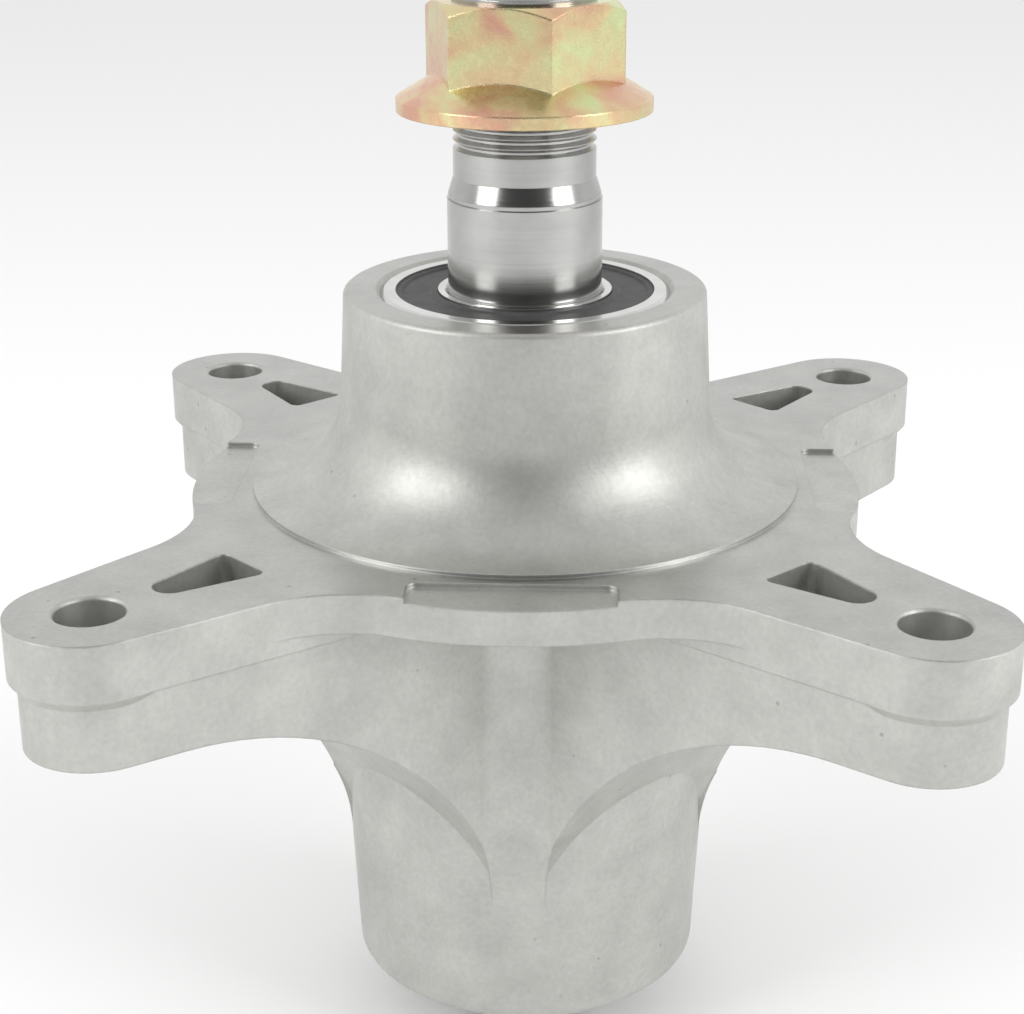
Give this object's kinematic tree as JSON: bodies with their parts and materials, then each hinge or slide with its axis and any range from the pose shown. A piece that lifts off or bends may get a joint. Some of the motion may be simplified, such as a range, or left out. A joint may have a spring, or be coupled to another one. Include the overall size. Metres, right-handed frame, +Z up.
{
  "type": "mower deck spindle",
  "caption": "Cast aluminium mower-deck spindle: tapered arms with bolt holes, a flared boss, sealed ball bearings, and a steel shaft with a flange nut above and a blade collar below.",
  "frame": {"origin": "centre of the machined deck face, on the shaft's axis and midway between the four deck bolts", "axes": "+Z runs up the shaft to the pulley end and the nut, -Z to the blade end; the four arms lie at 45 degrees between X and Y"},
  "size_m": [0.1436, 0.1436, 0.1795],
  "materials": {
    "cast_aluminium": "blasted casting, light satin grey",
    "shaft_steel": "turned and ground, dark grey",
    "yellow_zinc": "yellow passivated zinc plating",
    "spacer_steel": "drawn tube, faced ends",
    "ring_steel": "ground bearing steel",
    "ball_steel": "polished",
    "cage_steel": "pressed sheet",
    "rivet_steel": "upset rivet heads",
    "seal_rubber": "moulded, matt"
  },
  "bodies": {
    "housing": {"spindle_housing": "cast_aluminium", "upper_outer_ring": "ring_steel", "upper_seal_top": "seal_rubber", "upper_seal_bottom": "seal_rubber", "lower_outer_ring": "ring_steel", "lower_seal_top": "seal_rubber", "lower_seal_bottom": "seal_rubber"},
    "spindle": {"spindle_shaft": "shaft_steel", "flange_nut": "yellow_zinc", "bearing_spacer": "spacer_steel", "upper_inner_ring": "ring_steel", "lower_inner_ring": "ring_steel"},
    "upper_cage": {"upper_balls": "ball_steel", "upper_cage_top": "cage_steel", "upper_cage_bottom": "cage_steel", "upper_cage_rivets": "rivet_steel"},
    "lower_cage": {"lower_balls": "ball_steel", "lower_cage_top": "cage_steel", "lower_cage_bottom": "cage_steel", "lower_cage_rivets": "rivet_steel"}
  },
  "joints": [
    {"name": "spindle_spin", "type": "hinge", "parent": "housing", "child": "spindle", "pos_m": [0, 0, 0], "axis": [0, 0, 1], "continuous": true},
    {"name": "upper_cage_spin", "type": "hinge", "parent": "housing", "child": "upper_cage", "pos_m": [0, 0, 0], "axis": [0, 0, 1], "continuous": true},
    {"name": "lower_cage_spin", "type": "hinge", "parent": "housing", "child": "lower_cage", "pos_m": [0, 0, 0], "axis": [0, 0, 1], "continuous": true}
  ],
  "couplings": [
    {"joint": "upper_cage_spin", "follows": "spindle_spin", "ratio": 0.40625},
    {"joint": "lower_cage_spin", "follows": "spindle_spin", "ratio": 0.40625}
  ]
}
